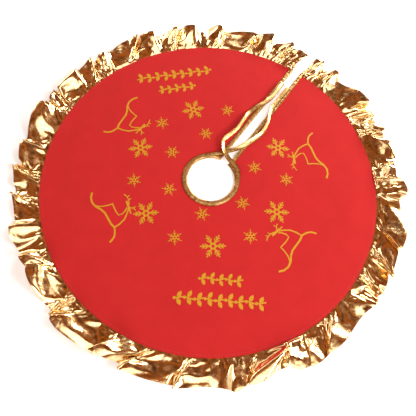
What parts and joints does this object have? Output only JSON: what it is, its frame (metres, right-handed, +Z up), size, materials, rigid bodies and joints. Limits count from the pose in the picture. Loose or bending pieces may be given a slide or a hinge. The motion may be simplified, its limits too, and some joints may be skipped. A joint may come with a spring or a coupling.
{
  "type": "tree skirt",
  "caption": "Round cloth skirt with a neck hole, a slit with tie tapes, a gathered foil ruffle at the rim and pressed foil motifs.",
  "frame": {"origin": "centre of the neck hole, on the floor plane that the skirt lies on", "axes": "+Z up out of the red face, +Y along the slit from the neck to the rim, +X to the right of the slit"},
  "size_m": [0.9, 0.8997, 0.018],
  "materials": {
    "panel_cloth": "matt red nonwoven cloth",
    "backing_cloth": "matt dark red nonwoven backing",
    "ruffle_foil": "crinkled gold foil cloth, bright",
    "tape_foil": "pale gold foil tape",
    "print_foil": "pressed gold foil"
  },
  "bodies": {
    "skirt": {"panel_main": "panel_cloth", "backing_main": "backing_cloth", "ruffle_strip_1": "ruffle_foil", "ruffle_strip_2": "ruffle_foil", "ruffle_strip_3": "ruffle_foil", "ruffle_strip_4": "ruffle_foil", "neck_tape": "tape_foil", "slit_tape_left_neck_end": "tape_foil", "slit_tape_right_neck_end": "tape_foil", "tie_right_neck_end": "tape_foil", "tie_left_neck_end": "tape_foil", "snowflake_middle_1": "print_foil", "snowflake_middle_2": "print_foil", "snowflake_middle_3": "print_foil", "snowflake_middle_4": "print_foil", "snowflake_middle_5": "print_foil", "snowflake_middle_6": "print_foil", "snowflake_middle_7": "print_foil", "snowflake_middle_8": "print_foil", "snowflake_middle_9": "print_foil", "snowflake_middle_10": "print_foil", "snowflake_middle_11": "print_foil", "snowflake_middle_12": "print_foil", "snowflake_inner_1": "print_foil", "snowflake_inner_2": "print_foil", "snowflake_inner_3": "print_foil", "snowflake_inner_4": "print_foil", "snowflake_inner_5": "print_foil", "snowflake_inner_6": "print_foil", "deer_1": "print_foil", "deer_2": "print_foil", "deer_3": "print_foil", "deer_4": "print_foil", "garland_1_upper": "print_foil", "garland_1_lower": "print_foil", "garland_2_upper": "print_foil", "garland_2_lower": "print_foil"},
    "flap_left": {"panel_flap_left": "panel_cloth", "backing_flap_left": "backing_cloth", "ruffle_flap_left": "ruffle_foil", "slit_tape_left": "tape_foil", "tie_left_tail": "tape_foil"},
    "flap_right": {"panel_flap_right": "panel_cloth", "backing_flap_right": "backing_cloth", "ruffle_flap_right": "ruffle_foil", "slit_tape_right": "tape_foil", "tie_right_tail": "tape_foil"}
  },
  "joints": [
    {"name": "flap_left_fold", "type": "hinge", "parent": "skirt", "child": "flap_left", "pos_m": [-0.0105, 0.112, 0.0183], "axis": [0.4067, -0.9135, 0], "range_deg": [0, 150]},
    {"name": "flap_right_fold", "type": "hinge", "parent": "skirt", "child": "flap_right", "pos_m": [0.0105, 0.112, 0.0183], "axis": [0.4067, 0.9135, 0], "range_deg": [0, 150]}
  ]
}
